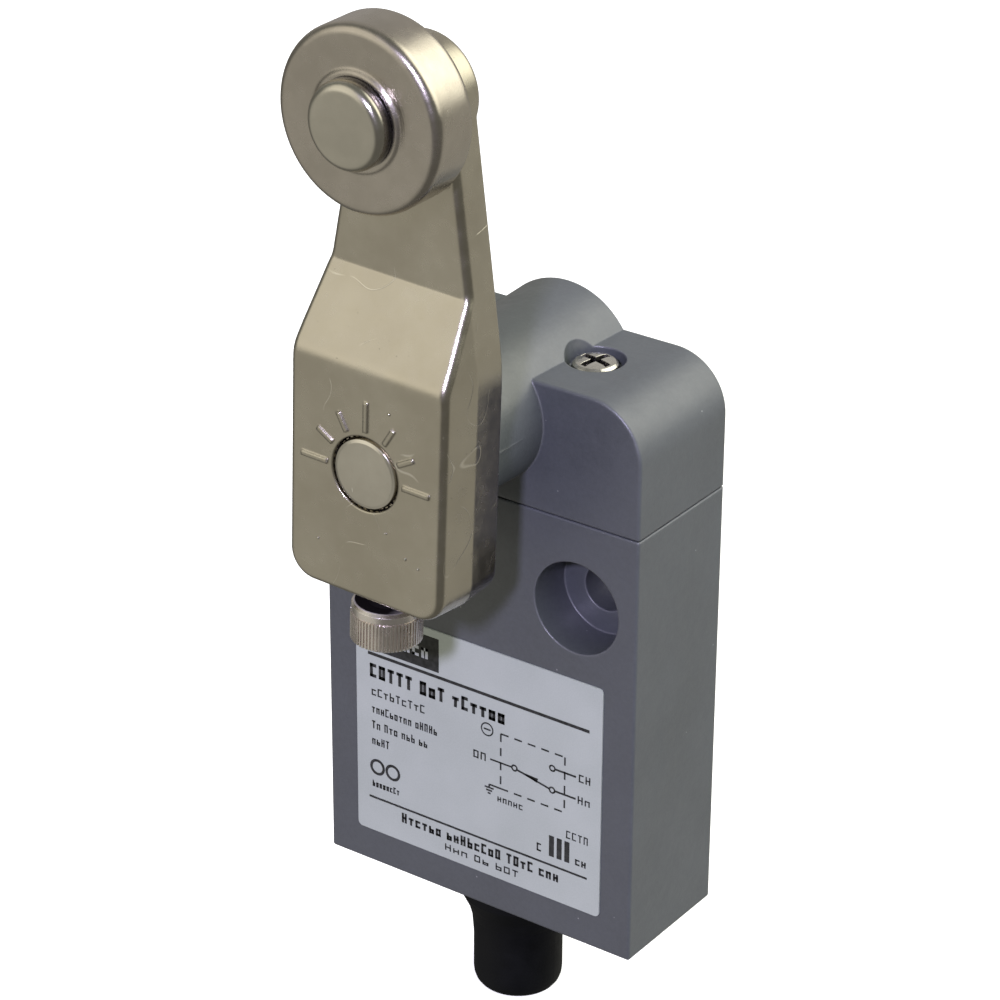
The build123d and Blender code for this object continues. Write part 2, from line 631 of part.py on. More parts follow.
def make_moving_blade():
    """Leaf with a contact rivet on its free end and a round bar at the other, on which it rocks."""
    low, high = BLADE_Z - BLADE_T / 2, BLADE_Z + BLADE_T / 2
    leaf = box(COMMON_X - 0.6, CONTACT_X + CONTACT_R, MID_Y - BLADE_HALF_W, MID_Y + BLADE_HALF_W, low, high)
    leaf -= box(-4.5, 3.5, MID_Y - BLADE_WINDOW_HALF_W, MID_Y + BLADE_WINDOW_HALF_W, low - OVER, high + OVER)
    leaf += box(-1.2, 1.2, MID_Y - BLADE_HALF_W, MID_Y + BLADE_HALF_W, low, high)
    leaf += y_cylinder(BLADE_ROLL_R, MID_Y - BLADE_HALF_W, MID_Y + BLADE_HALF_W, COMMON_X, BLADE_Z)
    return leaf + contact(low - CONTACT_T, high + CONTACT_T)


def make_common_terminal():
    """Post with a saddle on top, grooved for the blade's round bar."""
    saddle = strip(COMMON_X - SADDLE_HALF_W, COMMON_X + SADDLE_HALF_W, SADDLE_TOP - SADDLE_HEIGHT, SADDLE_TOP)
    groove = y_cylinder(BLADE_ROLL_R + RUNNING_GAP, MID_Y - STRIP_W, MID_Y + STRIP_W, COMMON_X, BLADE_Z)
    return post(COMMON_X, SADDLE_TOP) + saddle - groove


def make_closed_terminal():
    """Normally closed contact, above the blade."""
    face = BLADE_Z + BLADE_T / 2 + CONTACT_T + CONTACT_REST_GAP
    arm = face + CONTACT_T
    terminal = post(CLOSED_X, arm + STRIP_T) + strip(CONTACT_X - 1.4, CLOSED_X, arm, arm + STRIP_T)
    return terminal + contact(face, arm)


def make_open_terminal():
    """Normally open contact, below the blade."""
    face = BLADE_Z - BLADE_T / 2 - CONTACT_T - CONTACT_OPEN_GAP
    arm = face - CONTACT_T
    terminal = post(OPEN_X, arm) + strip(OPEN_X, CONTACT_X + CONTACT_R, arm - STRIP_T, arm)
    return terminal + contact(arm, face)


# ---------------------------------------------------------------- lever and roller


def lever_outline():
    """Hub with round lower corners and a tapered arm with a round eye, with h from the axis."""
    rise = LEVER_LENGTH - SLOPE_LOW
    tilt = math.atan2(HUB_HALF_W - ARM_SIDE_R, rise)
    touch_x = ARM_SIDE_R * math.cos(tilt)
    touch_h = LEVER_LENGTH + ARM_SIDE_R * math.sin(tilt)
    corners = [(-HUB_HALF_W, HUB_BOTTOM), (-HUB_HALF_W, SLOPE_LOW), (-touch_x, touch_h),
               (touch_x, touch_h), (HUB_HALF_W, SLOPE_LOW), (HUB_HALF_W, HUB_BOTTOM)]
    outline = make_face(Polyline(*corners, close=True)) + Pos(0, LEVER_LENGTH) * Circle(ARM_END_R)
    outline = fillet(outline.vertices().filter_by(lambda v: abs(v.Y - HUB_BOTTOM) < 1e-3), HUB_CORNER_R)
    outline = fillet(outline.vertices().filter_by(lambda v: abs(v.Y - SLOPE_LOW) < 1e-3), KNEE_R)
    necks = outline.vertices().filter_by(lambda v: SLOPE_HIGH + KNEE_R / 4 < v.Y < LEVER_LENGTH - 0.1)
    return fillet(necks, ARM_NECK_R)


def lever_side():
    """Side view of the lever's front half: hub face, rounded brow, slope and arm face."""
    back = ARM_FRONT + OVER
    corners = [(HUB_FRONT, -BIG), (HUB_FRONT, SLOPE_LOW), (ARM_FRONT, SLOPE_HIGH), (ARM_FRONT, BIG),
               (back, BIG), (back, -BIG)]
    side = make_face(Polyline(*corners, close=True))
    brow = side.vertices().filter_by(lambda v: abs(v.Y - SLOPE_LOW) < 1e-3)
    return Plane.YZ * fillet(brow, BROW_R)


def front_edges(lever):
    """Outer edges of all that faces forward: hub face, brow, slope and arm face."""
    found = {}
    for face in lever.faces():
        if face.normal_at().Y < -0.5:
            for edge in face.edges():
                place = tuple(round(v, 3) for v in edge.center())
                found.setdefault(place, []).append(edge)
    return [shared[0] for shared in found.values() if len(shared) == 1]


def make_mark(index):
    """One of the raised ribs on the hub's face; every third one is longer."""
    outer = LONG_MARK_R if index % 3 == 0 else SHORT_MARK_R
    rib = box(MARK_INNER_R, outer, HUB_FRONT - MARK_HEIGHT, HUB_FRONT + 0.2, -MARK_HALF_W, MARK_HALF_W)
    return Rot(0, -MARK_STEP * index, 0) * rib


def make_lever():
    """Both halves narrow away from the parting plane by their casting draft."""
    parting = Plane.XZ.offset(-ARM_FRONT) * lever_outline()
    rear = extrude(parting, amount=ARM_FRONT - LEVER_BACK, taper=LEVER_DRAFT / 2)
    front = extrude(parting, amount=ARM_FRONT - HUB_FRONT + OVER, taper=LEVER_DRAFT)
    lever = rear + (front & extrude(lever_side(), amount=BIG, both=True))
    lever = fillet(front_edges(lever), LEVER_EDGE)
    lever = fillet(lever.faces().sort_by(Axis.Y)[-1].edges(), LEVER_EDGE / 2)
    for index in range(MARK_COUNT):
        lever += make_mark(index)
    lever -= y_cylinder(BORE_R, HUB_FRONT - OVER, LEVER_BACK + OVER)
    lever -= z_cylinder(CLAMP_THREAD_R + RUNNING_GAP, -BIG, 0, 0, CLAMP_Y)
    lever -= y_cylinder(ROLLER_PIN_R, ARM_FRONT - OVER, LEVER_BACK + OVER, 0, LEVER_LENGTH)
    return lean(lever)


def make_clamp_screw():
    """Socket-head screw with straight flutes; its point bears on the shaft."""
    grip_top = CLAMP_HEAD_TOP - CLAMP_CROWN_HEIGHT
    grip_bottom = CLAMP_HEAD_BOTTOM + 0.3
    head = lathe_z(
        [
            (0, CLAMP_HEAD_TOP),
            (CLAMP_CROWN_R - 0.35, CLAMP_HEAD_TOP),
            (CLAMP_CROWN_R, CLAMP_HEAD_TOP - 0.3),
            (CLAMP_CROWN_R, grip_top + 0.15),
            (CLAMP_CORE_R, grip_top),
            (CLAMP_CORE_R, grip_bottom),
            (CLAMP_CORE_R - 0.28, CLAMP_HEAD_BOTTOM),
            (0, CLAMP_HEAD_BOTTOM),
        ],
        0, CLAMP_Y)
    head += extrude(Pos(0, CLAMP_Y, grip_bottom) * knurl(CLAMP_HEAD_R, CLAMP_TOOTH, CLAMP_TEETH),
                    amount=grip_top - grip_bottom)
    shank = z_cylinder(CLAMP_THREAD_R, CLAMP_HEAD_TOP - 0.1, -SHAFT_R - LOOSE_GAP, 0, CLAMP_Y)
    socket = extrude(Pos(0, CLAMP_Y, CLAMP_HEAD_BOTTOM - 0.1) * RegularPolygon(CLAMP_SOCKET_R, 6),
                     amount=CLAMP_SOCKET_DEPTH + 0.1)
    return lean(head + shank - socket)


def rim(turned, radius, place):
    """Circular edge of a piece turned about Y, by radius and order from the front."""
    circles = turned.edges().filter_by(GeomType.CIRCLE)
    return circles.filter_by(lambda e: abs(e.radius - radius) < 1e-3).sort_by(Axis.Y)[place]


def make_roller():
    """Wheel with rounded rims and a low hub face."""
    face = ROLLER_FRONT + ROLLER_HUB_STEP
    bore = ROLLER_PIN_R + LOOSE_GAP
    wheel = lathe_y([(bore, ROLLER_FRONT), (ROLLER_HUB_R, ROLLER_FRONT), (ROLLER_HUB_R, face),
                     (ROLLER_R, face), (ROLLER_R, ROLLER_BACK), (bore, ROLLER_BACK)])
    wheel = fillet(rim(wheel, ROLLER_R, 0), ROLLER_FRONT_EDGE)
    wheel = fillet(rim(wheel, ROLLER_R, -1), ROLLER_BACK_EDGE)
    wheel = fillet(rim(wheel, ROLLER_HUB_R, 0), ROLLER_HUB_EDGE)
    return lean(Pos(0, 0, LEVER_LENGTH) * wheel)


def make_roller_pin():
    """Headed pin through the roller, riveted over behind the arm."""
    under_head = ROLLER_FRONT - END_PLAY
    profile = [
        (0, ROLLER_PIN_HEAD_FRONT),
        (ROLLER_PIN_HEAD_R, ROLLER_PIN_HEAD_FRONT),
        (ROLLER_PIN_HEAD_R, under_head),
        (ROLLER_PIN_R, under_head),
        (ROLLER_PIN_R, LEVER_BACK),
        (RIVET_R, LEVER_BACK),
        (RIVET_R - 0.3, LEVER_BACK + RIVET_HEIGHT / 2),
        (RIVET_R - 1.4, LEVER_BACK + RIVET_HEIGHT - 0.1),
        (0, LEVER_BACK + RIVET_HEIGHT),
    ]
    pin = lathe_y(profile)
    pin = fillet(rim(pin, ROLLER_PIN_HEAD_R, 0), ROLLER_PIN_HEAD_EDGE)
    return lean(Pos(0, 0, LEVER_LENGTH) * pin)


def make_roller_washer():
    return lean(y_ring(ROLLER_PIN_HEAD_R, ROLLER_PIN_R + SEAT_GAP, ROLLER_BACK + END_PLAY, ARM_FRONT,
                       0, LEVER_LENGTH))


PIECES = {
    "body": make_body,
    "nameplate": make_nameplate,
    "potting": make_potting,
    "cable_boot": make_cable_boot,
    "ground_screw": make_ground_screw,
    "ground_lug": make_ground_lug,
    "head_gasket": make_head_gasket,
    "head": make_head,
    "head_screws": make_head_screws,
    "front_bush": make_front_bush,
    "rear_bush": make_rear_bush,
    "shaft_seal": make_shaft_seal,
    "thrust_washer": make_thrust_washer,
    "shaft": make_shaft,
    "retaining_ring": make_retaining_ring,
    "cam": make_cam,
    "cam_pin": make_cam_pin,
    "plunger": make_plunger,
    "plunger_guide": make_plunger_guide,
    "plunger_seal": make_plunger_seal,
    "plunger_spring": make_plunger_spring,
    "switch_case": make_switch_case,
    "switch_cover": make_switch_cover,
    "switch_pins": make_switch_pins,
    "switch_button": make_switch_button,
    "moving_blade": make_moving_blade,
    "common_terminal": make_common_terminal,
    "normally_closed_terminal": make_closed_terminal,
    "normally_open_terminal": make_open_terminal,
    "lever": make_lever,
    "clamp_screw": make_clamp_screw,
    "roller": make_roller,
    "roller_pin": make_roller_pin,
    "roller_washer": make_roller_washer,
}

os.makedirs("parts", exist_ok=True)
for name, make in PIECES.items():
    export_step(make(), f"parts/{name}.step")
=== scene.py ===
"""Looks of a roller-lever limit switch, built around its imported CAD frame.

Metres, in the frame of the CAD: +Z up, the front of the switch faces -Y.
"""

import json
import math
import random

import bmesh
import bpy
from mathutils import Matrix, Vector


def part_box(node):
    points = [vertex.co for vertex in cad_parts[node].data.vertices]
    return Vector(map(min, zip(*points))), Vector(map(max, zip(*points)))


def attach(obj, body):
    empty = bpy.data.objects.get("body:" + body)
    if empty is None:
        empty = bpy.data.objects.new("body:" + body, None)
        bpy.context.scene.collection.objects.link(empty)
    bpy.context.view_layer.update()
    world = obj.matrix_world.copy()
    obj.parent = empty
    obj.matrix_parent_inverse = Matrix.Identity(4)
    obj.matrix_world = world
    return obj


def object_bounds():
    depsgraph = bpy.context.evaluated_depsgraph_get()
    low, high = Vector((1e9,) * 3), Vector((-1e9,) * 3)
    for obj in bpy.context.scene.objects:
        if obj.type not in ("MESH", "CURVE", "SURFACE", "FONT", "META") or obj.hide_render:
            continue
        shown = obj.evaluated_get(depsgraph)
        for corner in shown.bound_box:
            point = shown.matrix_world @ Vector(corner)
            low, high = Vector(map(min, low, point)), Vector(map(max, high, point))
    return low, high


MM = 0.001

# ---- view ----
VIEW_AZIMUTH = 35.305  # degrees to the right of straight in front
VIEW_ELEVATION = 26.871
VIEW_ROLL = 0.341
VIEW_DISTANCE = 0.39083
VIEW_TARGET = Vector((-0.00287, -0.008, 0.0047))
LENS = 132.42  # mm, on a sensor 36 mm wide

# ---- room light: radiance below and above, and bright areas ----
ROOM_BELOW = (0.16, 0.155, 0.14, 1)
ROOM_ABOVE = (0.22, 0.225, 0.205, 1)
# azimuth and elevation in degrees, inner and outer half angle, added radiance
ROOM_GLOWS = (
    (-35, -27, 12, 50, (0.34, 0.33, 0.30)),
    (-35, 25, 14, 38, (0.85, 0.80, 0.70)),
    (130, 38, 18, 42, (2.7, 2.65, 2.3)),
    (155, -27, 12, 45, (0.30, 0.29, 0.26)),
    (-145, 27, 15, 55, (0.26, 0.24, 0.24)),
)

# ---- label print, in mm on the front of the nameplate, X right and Z up ----
INK_THICKNESS = 0.012
RULE_HALF_W = 14.55
UPPER_RULE_Z, UPPER_RULE_HALF_H = -13.95, 0.19
LOWER_RULE_Z, LOWER_RULE_HALF_H = -32.1, 0.13
BLOCK = (-14.5, -5.0, -13.4, -9.3)  # left, right, bottom, top
MARK_RING_CENTRES, MARK_RING_R, MARK_RING_W = ((-13.4, -28.1), (-11.3, -28.1)), 0.85, 0.34
MARK_BAR_LEFTS, MARK_BAR_W, MARK_BAR_BOTTOM, MARK_BAR_TOP = (9.6, 10.6, 11.6), 0.65, -31.0, -28.4
# printed lines: word lengths, left end, right end, middle height, letter height, stroke width
DARK_LINES = (
    ((5, 3, 6), -14.3, 4.0, -16.0, 1.7, 0.4),
    ((9,), -14.1, -6.7, -18.6, 1.0, 0.17),
    ((9, 5), -14.1, -5.1, -20.8, 1.0, 0.17),
    ((2, 3, 3, 2), -14.1, -6.4, -22.8, 1.0, 0.17),
    ((4,), -14.1, -11.6, -24.8, 1.0, 0.17),
    ((2,), -0.4, 1.5, -21.7, 0.95, 0.17),
    ((2,), 13.3, 15.0, -20.0, 0.95, 0.17),
    ((2,), 13.2, 15.0, -22.7, 0.95, 0.17),
    ((5,), 2.8, 6.3, -26.2, 0.85, 0.15),
    ((4,), 11.8, 14.8, -27.5, 0.95, 0.15),
    ((6, 8, 4, 3), -10.1, 11.1, -33.35, 1.25, 0.28),
    ((3, 2, 3), -4.2, 5.9, -34.95, 0.85, 0.17),
    ((8,), -14.1, -10.3, -30.3, 0.8, 0.17),
    ((1,), 8.0, 8.8, -30.4, 1.0, 0.2),
    ((2,), 13.0, 14.6, -30.4, 1.0, 0.2),
)
BLOCK_LINE = ((6,), -13.4, -6.1, -11.35, 1.7, 0.36)
# letter stand-ins, as strokes between corners of a box one unit wide and high
GLYPHS = (
    ((0, 0, 0, 1), (1, 0, 1, 1), (0, 0, 1, 0), (0, 1, 1, 1)),
    ((0, 0, 0, 1), (0, 0, 1, 0), (0, 1, 1, 1)),
    ((0, 0, 0, 1), (1, 0, 1, 1), (0, 1, 1, 1)),
    ((0, 0, 0, 1), (0, 0.5, 1, 0.5), (1, 0, 1, 1)),
    ((0.5, 0, 0.5, 1), (0, 1, 1, 1)),
    ((0, 0, 0, 1), (0, 0, 1, 0), (0, 0.5, 1, 0.5), (1, 0, 1, 0.5)),
)

# ---- lever, in mm from the shaft's axis, in the lever's own leaning frame ----
SHAFT_AXIS = Vector((0, 0, 0.0195))
LEVER_LEAN = math.radians(1.9)
HUB_FACE_Y = -35.15
# casting pips on the hub's face: across, up and radius
PIPS = ((2.81, 7.51, 0.2), (-5.75, -9.06, 0.17), (2.74, -5.7, 0.15), (5.14, -7.8, 0.2), (6.76, -8.37, 0.16))
PIP_HEIGHT = 0.12


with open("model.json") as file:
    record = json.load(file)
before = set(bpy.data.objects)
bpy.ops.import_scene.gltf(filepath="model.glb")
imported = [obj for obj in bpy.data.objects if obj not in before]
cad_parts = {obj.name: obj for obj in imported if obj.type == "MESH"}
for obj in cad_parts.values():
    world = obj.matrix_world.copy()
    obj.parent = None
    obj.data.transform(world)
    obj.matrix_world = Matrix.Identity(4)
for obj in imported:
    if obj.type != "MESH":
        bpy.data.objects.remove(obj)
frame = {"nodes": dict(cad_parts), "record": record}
cad_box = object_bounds()


# ---------------------------------------------------------------- materials


class Look:
    """A node material around one Principled shader, with maps laid out in the part's own space."""

    def __init__(self, name):
        self.material = bpy.data.materials.new(name)
        self.material.use_nodes = True
        tree = self.material.node_tree
        self.nodes, self.links = tree.nodes, tree.links
        self.surface = self.nodes["Principled BSDF"]
        self.place = self.nodes.new("ShaderNodeTexCoord").outputs["Object"]

    def feed(self, socket, value):
        """Links a node's output to a socket, or sets a plain value."""
        if isinstance(value, bpy.types.NodeSocket):
            self.links.new(value, socket)
        else:
            socket.default_value = value

    def set(self, **inputs):
        for name, value in inputs.items():
            self.feed(self.surface.inputs[name.replace("_", " ")], value)

    def noise(self, scale, detail=2.0, rough=0.5, place=None):
        """Noise with features about 1/scale metres across."""
        node = self.nodes.new("ShaderNodeTexNoise")
        self.links.new(place or self.place, node.inputs["Vector"])
        self.feed(node.inputs["Scale"], scale)
        self.feed(node.inputs["Detail"], detail)
        self.feed(node.inputs["Roughness"], rough)
        return node.outputs["Fac"]

    def cells(self, scale, place=None):
        """Distance to the nearest of many scattered points."""
        node = self.nodes.new("ShaderNodeTexVoronoi")
        self.links.new(place or self.place, node.inputs["Vector"])
        self.feed(node.inputs["Scale"], scale)
        return node.outputs["Distance"]

    def math(self, operation, a, b=0.0):
        node = self.nodes.new("ShaderNodeMath")
        node.operation = operation
        self.feed(node.inputs[0], a)
        self.feed(node.inputs[1], b)
        return node.outputs[0]

    def span(self, value, low, high, to_low=0.0, to_high=1.0):
        """Maps a value from one range to another, clamped."""
        node = self.nodes.new("ShaderNodeMapRange")
        for name, number in (("Value", value), ("From Min", low), ("From Max", high),
                             ("To Min", to_low), ("To Max", to_high)):
            self.feed(node.inputs[name], number)
        return node.outputs["Result"]

    def mix(self, share, a, b):
        """Blend of two colours."""
        node = self.nodes.new("ShaderNodeMix")
        node.data_type = "RGBA"
        self.feed(node.inputs["Factor"], share)
        self.feed(node.inputs["A"], (*a, 1) if isinstance(a, tuple) else a)
        self.feed(node.inputs["B"], (*b, 1) if isinstance(b, tuple) else b)
        return node.outputs["Result"]

    def bump(self, height, depth, under=None):
        """Relief of a given depth in metres."""
        node = self.nodes.new("ShaderNodeBump")
        self.feed(node.inputs["Distance"], depth)
        self.feed(node.inputs["Height"], height)
        if under is not None:
            self.links.new(under, node.inputs["Normal"])
        return node.outputs["Normal"]

    def edge(self, radius):
        """1 near convex and concave edges, 0 on flats."""
        bevel = self.nodes.new("ShaderNodeBevel")
        bevel.inputs["Radius"].default_value = radius
        bevel.samples = 6
        geometry = self.nodes.new("ShaderNodeNewGeometry")
        dot = self.nodes.new("ShaderNodeVectorMath")
        dot.operation = "DOT_PRODUCT"
        self.links.new(bevel.outputs["Normal"], dot.inputs[0])
        self.links.new(geometry.outputs["Normal"], dot.inputs[1])
        return self.span(dot.outputs["Value"], 0.995, 0.85)

    def scratches(self, scale, width):
        """1 on short, thin, curved lines."""
        off = self.math("ABSOLUTE", self.math("SUBTRACT", self.noise(scale, 1), 0.5))
        patches = self.span(self.noise(2.3 * scale, 2), 0.50, 0.58)
        return self.math("MULTIPLY", self.span(off, width, 0.3 * width), patches)

    def past(self, axis, level, blend):
        """1 past a place along X, Y or Z, 0 before it."""
        node = self.nodes.new("ShaderNodeSeparateXYZ")
        self.links.new(self.place, node.inputs["Vector"])
        return self.span(node.outputs[axis], level - blend, level + blend)

    def stretched(self, x, y, z):
        """Place with each axis scaled, for long marks."""
        node = self.nodes.new("ShaderNodeMapping")
        self.links.new(self.place, node.inputs["Vector"])
        node.inputs["Scale"].default_value = (x, y, z)
        return node.outputs["Vector"]

    def rounded(self, radius):
        """Normal that runs smoothly over edges, as if they were rounded."""
        bevel = self.nodes.new("ShaderNodeBevel")
        bevel.inputs["Radius"].default_value = radius
        bevel.samples = 8
        return bevel.outputs["Normal"]

    def radius_from(self, centre, axis):
        """Distance from a line along X, Y or Z through centre."""
        shift = self.nodes.new("ShaderNodeVectorMath")
        shift.operation = "SUBTRACT"
        self.links.new(self.place, shift.inputs[0])
        shift.inputs[1].default_value = centre
        flat = self.nodes.new("ShaderNodeVectorMath")
        flat.operation = "MULTIPLY"
        self.links.new(shift.outputs[0], flat.inputs[0])
        flat.inputs[1].default_value = [0.0 if name == axis else 1.0 for name in "XYZ"]
        length = self.nodes.new("ShaderNodeVectorMath")
        length.operation = "LENGTH"
        self.links.new(flat.outputs[0], length.inputs[0])
        return length.outputs["Value"]


def housing_paint():
    """Satin paint over a die casting: fine orange peel, faint clouds, rubbed edges and a few dust specks."""
    look = Look("housing_paint")
    clouds = look.span(look.noise(90, 3), 0.3, 0.7)
    grain = look.span(look.noise(2600, 2), 0.3, 0.7)
    base = look.mix(clouds, (0.048, 0.053, 0.057), (0.057, 0.063, 0.068))
    base = look.mix(look.math("MULTIPLY", grain, 0.25), base, (0.080, 0.088, 0.095))
    specks = look.span(look.cells(330), 0.035, 0.02)
    base = look.mix(look.math("MULTIPLY", specks, 0.5), base, (0.4, 0.4, 0.4))
    base = look.mix(look.math("MULTIPLY", look.edge(0.0004), 0.3), base, (0.16, 0.165, 0.17))
    peel = look.bump(look.noise(900, 2), 0.00003, look.rounded(0.00035))
    fine = look.bump(look.noise(5200, 2), 0.000012, peel)
    look.set(Base_Color=base, Roughness=look.span(look.noise(420, 3), 0.3, 0.7, 0.38, 0.48),
             Normal=fine, Specular_IOR_Level=0.8)
    return look.material


def satin_metal(name, dark, light, rough, softened=0.0001):
    """Plated metal with a satin grain, soft stains, small pits and rare bright nicks."""
    look = Look(name)
    stains = look.span(look.noise(150, 4, 0.6), 0.35, 0.7)
    base = look.mix(stains, dark, light)
    pits = look.span(look.cells(900), 0.07, 0.03)
    base = look.mix(look.math("MULTIPLY", pits, 0.35), base, tuple(0.55 * c for c in dark))
    spots = look.span(look.cells(400, look.stretched(1.0, 1.0, 0.45)), 0.06, 0.03)
    nicks = look.math("MULTIPLY", spots, look.span(look.noise(130, 2), 0.5, 0.54))
    base = look.mix(look.math("MULTIPLY", nicks, 0.8), base, (0.95, 0.92, 0.82))
    lines = look.scratches(95, 0.0035)
    base = look.mix(look.math("MULTIPLY", lines, 0.5), base, (0.85, 0.81, 0.71))
    soft = look.bump(look.noise(260, 2), 0.00002, look.rounded(softened))
    fine = look.bump(look.noise(3000, 3, 0.6), 0.000007, soft)
    pitted = look.bump(look.math("SUBTRACT", 1.0, pits), 0.00001, fine)
    scored = look.bump(look.math("SUBTRACT", 1.0, lines), 0.000012, pitted)
    raised = look.bump(nicks, 0.00005, scored)
    worn = look.span(look.noise(600, 3), 0.3, 0.7, rough - 0.04, rough + 0.05)
    look.set(Base_Color=base, Metallic=1.0, Roughness=worn, Normal=raised)
    return look.material


def turned_metal(name, node, axis, dark, light, rough, pitch):
    """Metal turned about a node's own centre line, with fine tool marks."""
    look = Look(name)
    low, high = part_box(node)
    radius = look.radius_from((low + high) / 2, axis)
    marks = look.math("SINE", look.math("MULTIPLY", radius, 2 * math.pi / pitch))
    base = look.mix(look.span(look.noise(200, 4, 0.6), 0.35, 0.7), dark, light)
    soft = look.bump(look.noise(300, 2), 0.00002, look.rounded(0.0006))
    tooled = look.bump(marks, 0.0000008, soft)
    fine = look.bump(look.noise(4000, 2), 0.000005, tooled)
    look.set(Base_Color=base, Metallic=1.0, Normal=fine,
             Roughness=look.span(look.noise(700, 3), 0.3, 0.7, rough - 0.05, rough + 0.05))
    return look.material


def clamp_screw_metal():
    """Nickelled screw with bright flutes, and painted shade on its neck, top face and socket, which are made
    near black, dull and non-metallic.
    """
    look = Look("clamp_screw_metal")
    low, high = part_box("clamp_screw")
    middle = (low + high) / 2
    radius = look.radius_from(middle, "Z")
    # painted shade: inside a radius of 3.2 mm and above the head's top, the screw is made near black, dull
    # and non-metallic
    painted_shade_core = look.math("MULTIPLY", look.span(radius, 0.0034, 0.0032), look.past("Z", 0.0034, 0.0001))
    base = look.mix(look.span(look.noise(400, 3), 0.35, 0.7), (0.72, 0.67, 0.62), (0.85, 0.80, 0.74))
    base = look.mix(painted_shade_core, base, (0.008, 0.007, 0.007))
    fine = look.bump(look.noise(3000, 3), 0.000008, look.rounded(0.00006))
    worn = look.span(look.noise(700, 3), 0.3, 0.7, 0.2, 0.3)
    outside_painted_shade = look.math("SUBTRACT", 1.0, painted_shade_core)
    look.set(Base_Color=base, Metallic=outside_painted_shade, Normal=fine,
             Specular_IOR_Level=look.math("MULTIPLY", outside_painted_shade, 0.5),
             Roughness=look.math("ADD", worn, look.math("MULTIPLY", painted_shade_core, 0.4)))
    return look.material


def pin_metal():
    """Bright rounded head, with painted shade: a dark band round its side where it meets the roller."""
    look = Look("pin_metal")
    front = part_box("roller_pin")[0].y
    base = look.mix(look.span(look.noise(150, 4, 0.6), 0.35, 0.7), (0.48, 0.455, 0.385), (0.56, 0.53, 0.45))
    # painted shade: the pin's side, from just behind its head to the arm, is made dark
    behind_head, at_arm = look.past("Y", front + 0.0012, 0.0003), look.past("Y", front + 0.006, 0.0003)
    base = look.mix(look.math("SUBTRACT", behind_head, at_arm), base, (0.07, 0.068, 0.07))
    fine = look.bump(look.noise(3000, 3, 0.6), 0.000007, look.rounded(0.0006))
    look.set(Base_Color=base, Metallic=1.0, Normal=fine,
             Roughness=look.span(look.noise(600, 3), 0.3, 0.7, 0.17, 0.25))
    return look.material


def head_screw_metal():
    """Bright zinc, with painted shade: everything below the top of each head, the cross recess and the lower
    rim, is made dark.
    """
    look = Look("head_screw_metal")
    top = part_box("head_screws")[1].z
    base = look.mix(look.span(look.noise(500, 3), 0.35, 0.7), (0.62, 0.60, 0.55), (0.80, 0.78, 0.73))
    # painted shade: everything more than 0.55 mm below the top of the heads is made dark
    base = look.mix(look.past("Z", top - 0.00055, 0.00012), (0.05, 0.045, 0.04), base)
    dents = look.bump(look.noise(1300, 2), 0.00006, look.rounded(0.0001))
    look.set(Base_Color=base, Metallic=1.0, Normal=dents,
             Roughness=look.span(look.noise(900, 2), 0.3, 0.7, 0.2, 0.3))
    return look.material


def rubber():
    look = Look("rubber")
    clouds = look.span(look.noise(250, 3), 0.35, 0.7)
    base = look.mix(clouds, (0.0015, 0.0018, 0.0021), (0.003, 0.0034, 0.0037))
    fine = look.bump(look.noise(2600, 3), 0.00002)
    look.set(Base_Color=base, Roughness=look.span(look.noise(500, 2), 0.3, 0.7, 0.52, 0.65), Normal=fine,
             Specular_IOR_Level=0.13)
    return look.material


def moulded(name, dark, light, rough):
    """Moulded plastic or cast resin, slightly cloudy, with a faint grain."""
    look = Look(name)
    base = look.mix(look.span(look.noise(300, 3), 0.35, 0.7), dark, light)
    fine = look.bump(look.noise(3000, 2), 0.00001)
    look.set(Base_Color=base, Normal=fine,
             Roughness=look.span(look.noise(600, 2), 0.3, 0.7, rough - 0.05, rough + 0.05))
    return look.material


def nameplate_foil():
    """Silver-white foil under a clear coat."""
    look = Look("nameplate")
    base = look.mix(look.span(look.noise(120, 3), 0.3, 0.7), (0.345, 0.38, 0.345), (0.395, 0.43, 0.395))
    flecks = look.span(look.noise(6000, 1), 0.35, 0.65)
    base = look.mix(look.math("MULTIPLY", flecks, 0.2), base, (0.48, 0.52, 0.48))
    fine = look.bump(look.noise(1500, 2), 0.000006)
    look.set(Base_Color=base, Metallic=0.15, Roughness=0.42, Coat_Weight=0.3, Coat_Roughness=0.2, Normal=fine)
    return look.material


def ink(name, dark, light):
    look = Look(name)
    base = look.mix(look.span(look.noise(1500, 3), 0.35, 0.7), dark, light)
    look.set(Base_Color=base, Roughness=0.5, Specular_IOR_Level=0.2,
             Normal=look.bump(look.noise(4000, 2), 0.000004))
    return look.material


LOOKS = {
    "housing_paint": housing_paint(),
    "lever_metal": satin_metal("lever_metal", (0.45, 0.415, 0.335), (0.51, 0.475, 0.39), 0.24, 0.0004),
    "roller_metal": turned_metal("roller_metal", "roller", "Y", (0.42, 0.385, 0.33), (0.49, 0.45, 0.39),
                                 0.25, 0.0003),
    "bright_steel": satin_metal("bright_steel", (0.52, 0.49, 0.42), (0.60, 0.57, 0.49), 0.18),
    "zinc_steel": satin_metal("zinc_steel", (0.56, 0.52, 0.42), (0.68, 0.64, 0.54), 0.2),
    "rubber": rubber(),
    "resin": moulded("resin", (0.014, 0.014, 0.016), (0.028, 0.028, 0.030), 0.22),
    "nameplate": nameplate_foil(),
    "switch_plastic": moulded("switch_plastic", (0.10, 0.035, 0.02), (0.14, 0.05, 0.03), 0.45),
    "contact_brass": satin_metal("contact_brass", (0.60, 0.43, 0.20), (0.70, 0.52, 0.27), 0.28),
    "bronze": satin_metal("bronze", (0.42, 0.27, 0.14), (0.52, 0.35, 0.19), 0.4),
}
